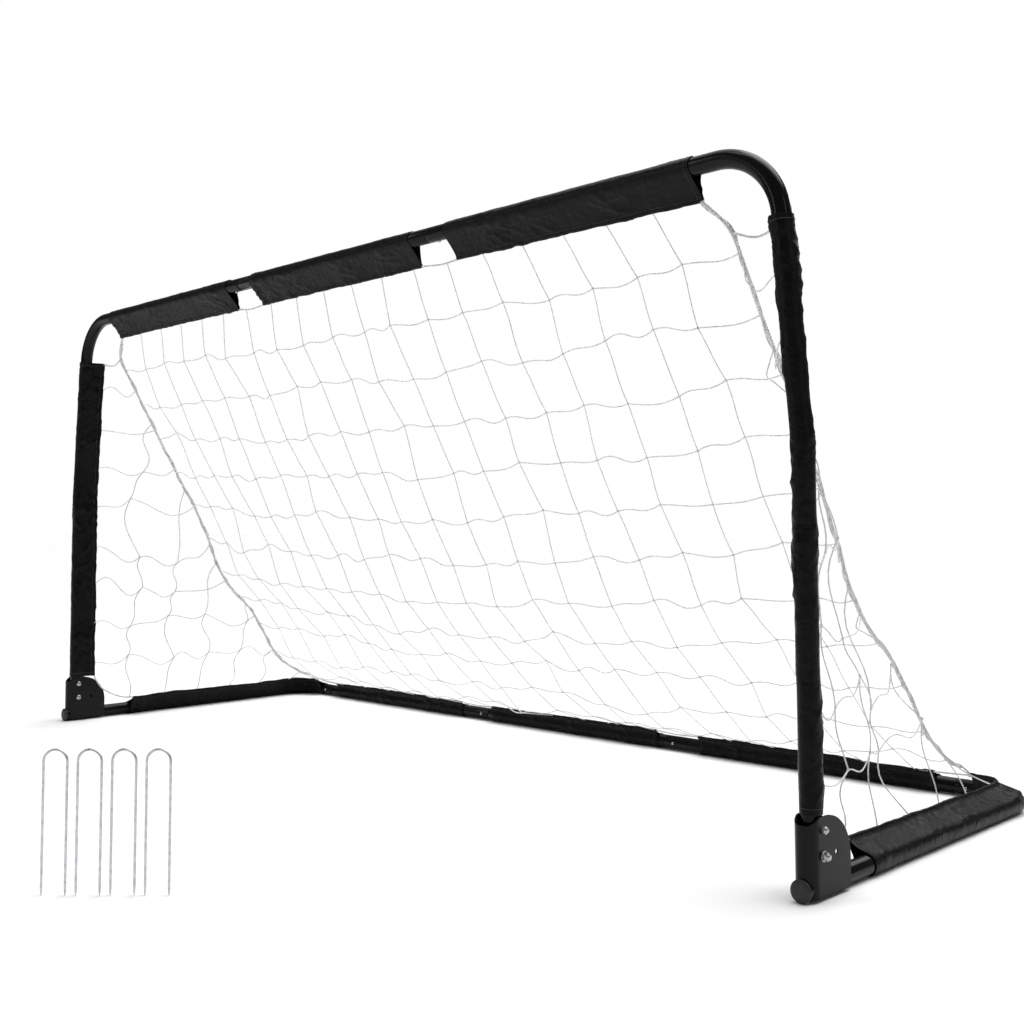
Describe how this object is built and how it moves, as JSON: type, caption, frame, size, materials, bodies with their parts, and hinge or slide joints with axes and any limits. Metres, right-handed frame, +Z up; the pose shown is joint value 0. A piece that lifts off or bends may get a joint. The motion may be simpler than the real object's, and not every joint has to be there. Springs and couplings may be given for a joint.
{
  "type": "folding garden goal",
  "caption": "Folding garden goal: round steel tube frame with fabric sleeves, knotted net, fold brackets at the post feet and U-shaped ground pegs.",
  "frame": {"origin": "centre of the footprint of the goal and its row of ground pegs, on the ground", "axes": "+X to the right seen from the front along the crossbar, +Y from the mouth to the back, +Z up; the mouth faces -Y"},
  "size_m": [2.1562, 1.4162, 1.017],
  "materials": {
    "black_paint": "gloss powder coat",
    "zinc_hardware": "bright zinc plate",
    "peg_steel": "galvanised wire",
    "sleeve_fabric": "satin woven polyester, stitched hems",
    "net_twine": "white knotted twine",
    "cap_plastic": "moulded, fine satin"
  },
  "bodies": {
    "ground_frame": {"side_tube_right": "black_paint", "side_tube_left": "black_paint", "rear_tube_right": "black_paint", "rear_tube_left": "black_paint", "rear_tube_center": "black_paint", "fold_bracket_right": "black_paint", "fold_bracket_left": "black_paint", "rail_cap_right": "cap_plastic", "rail_cap_left": "cap_plastic", "pivot_bolt_right": "zinc_hardware", "pivot_bolt_left": "zinc_hardware", "pivot_washer_right": "zinc_hardware", "pivot_washer_left": "zinc_hardware", "pivot_nut_right": "zinc_hardware", "pivot_nut_left": "zinc_hardware", "lock_bolt_right": "zinc_hardware", "lock_bolt_left": "zinc_hardware", "lock_nut_right": "zinc_hardware", "lock_nut_left": "zinc_hardware", "button_spring_rear_right": "zinc_hardware", "button_spring_rear_left": "zinc_hardware", "button_spring_corner_right": "zinc_hardware", "button_spring_corner_left": "zinc_hardware", "side_sleeve_right": "sleeve_fabric", "side_sleeve_left": "sleeve_fabric", "rear_sleeve_right": "sleeve_fabric", "rear_sleeve_left": "sleeve_fabric", "rear_sleeve_center": "sleeve_fabric", "net_back": "net_twine", "net_side_right": "net_twine", "net_side_left": "net_twine", "net_rope_rear": "net_twine", "net_seam_rope_right": "net_twine", "net_seam_rope_left": "net_twine", "ground_peg_1": "peg_steel", "ground_peg_2": "peg_steel", "ground_peg_3": "peg_steel", "ground_peg_4": "peg_steel"},
    "front_frame": {"lower_post_right": "black_paint", "lower_post_left": "black_paint", "corner_tube_right": "black_paint", "corner_tube_left": "black_paint", "crossbar_center": "black_paint", "pivot_spacer_right": "zinc_hardware", "pivot_spacer_left": "zinc_hardware", "button_spring_crossbar_right": "zinc_hardware", "button_spring_crossbar_left": "zinc_hardware", "post_sleeve_right": "sleeve_fabric", "post_sleeve_left": "sleeve_fabric", "crossbar_sleeve_right": "sleeve_fabric", "crossbar_sleeve_left": "sleeve_fabric", "crossbar_sleeve_center": "sleeve_fabric", "net_rope_top": "net_twine"},
    "crossbar_button_right": {"snap_button_crossbar_right": "zinc_hardware"},
    "crossbar_button_left": {"snap_button_crossbar_left": "zinc_hardware"},
    "rear_button_right": {"snap_button_rear_right": "zinc_hardware"},
    "rear_button_left": {"snap_button_rear_left": "zinc_hardware"},
    "corner_button_right": {"snap_button_corner_right": "zinc_hardware"},
    "corner_button_left": {"snap_button_corner_left": "zinc_hardware"}
  },
  "joints": [
    {"name": "fold", "type": "hinge", "parent": "ground_frame", "child": "front_frame", "pos_m": [0, -0.01562, 0.0575], "axis": [-1, 0, 0], "range_deg": [0, 90], "deforming": ["net_back", "net_side_right", "net_side_left", "net_seam_rope_right", "net_seam_rope_left", "side_sleeve_right", "side_sleeve_left", "post_sleeve_right", "post_sleeve_left"]},
    {"name": "press_crossbar_right", "type": "slide", "parent": "front_frame", "child": "crossbar_button_right", "axis": [0, 0, 1], "range_m": [0, 0.0043], "stiffness_N_per_m": 900},
    {"name": "press_crossbar_left", "type": "slide", "parent": "front_frame", "child": "crossbar_button_left", "axis": [0, 0, 1], "range_m": [0, 0.0043], "stiffness_N_per_m": 900},
    {"name": "press_rear_right", "type": "slide", "parent": "ground_frame", "child": "rear_button_right", "axis": [0, 1, 0], "range_m": [0, 0.0043], "stiffness_N_per_m": 900},
    {"name": "press_rear_left", "type": "slide", "parent": "ground_frame", "child": "rear_button_left", "axis": [0, 1, 0], "range_m": [0, 0.0043], "stiffness_N_per_m": 900},
    {"name": "press_corner_right", "type": "slide", "parent": "ground_frame", "child": "corner_button_right", "axis": [0, 1, 0], "range_m": [0, 0.0043], "stiffness_N_per_m": 900},
    {"name": "press_corner_left", "type": "slide", "parent": "ground_frame", "child": "corner_button_left", "axis": [0, 1, 0], "range_m": [0, 0.0043], "stiffness_N_per_m": 900}
  ]
}
